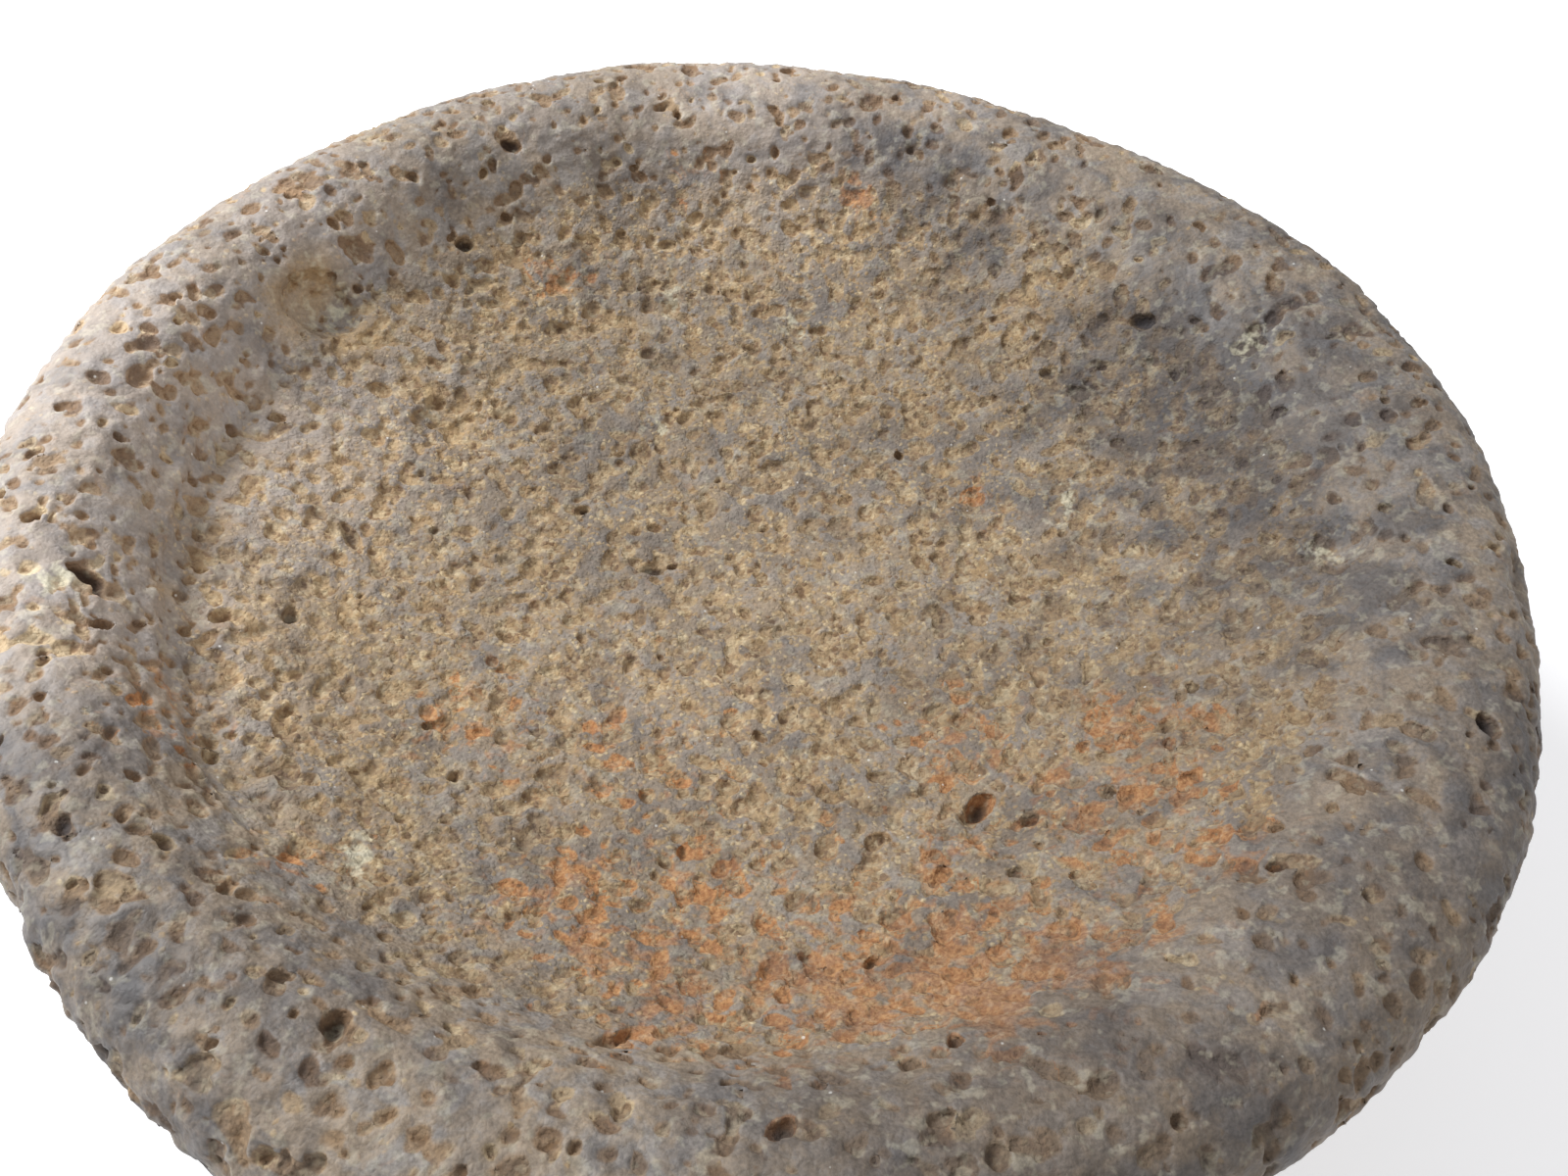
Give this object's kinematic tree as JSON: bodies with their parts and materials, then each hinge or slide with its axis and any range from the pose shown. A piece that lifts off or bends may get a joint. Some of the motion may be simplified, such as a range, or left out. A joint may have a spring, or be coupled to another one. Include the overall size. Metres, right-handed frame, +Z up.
{
  "type": "molcajete",
  "caption": "Round stone mortar on stubby legs, carved from vesicular basalt with a broad worn rim and a shallow pitted basin, with its loose pestle lying behind it.",
  "frame": {"origin": "on the surface that the three feet stand on, under the middle of the rim", "axes": "+Z up out of the basin; +Y towards the back leg and the tejolote behind it; +X to the right"},
  "size_m": [0.247, 0.3182, 0.098],
  "materials": {
    "basalt": "matte",
    "pestle_basalt": "matte"
  },
  "bodies": {
    "root": {"bowl": "basalt", "leg_back": "basalt", "leg_front_left": "basalt", "leg_front_right": "basalt"},
    "tejolote": {"tejolote": "pestle_basalt"}
  },
  "joints": [
    {"name": "tejolote_lift", "type": "slide", "parent": "root", "child": "tejolote", "axis": [0, 0, 1], "range_m": [0, 0.12]}
  ]
}
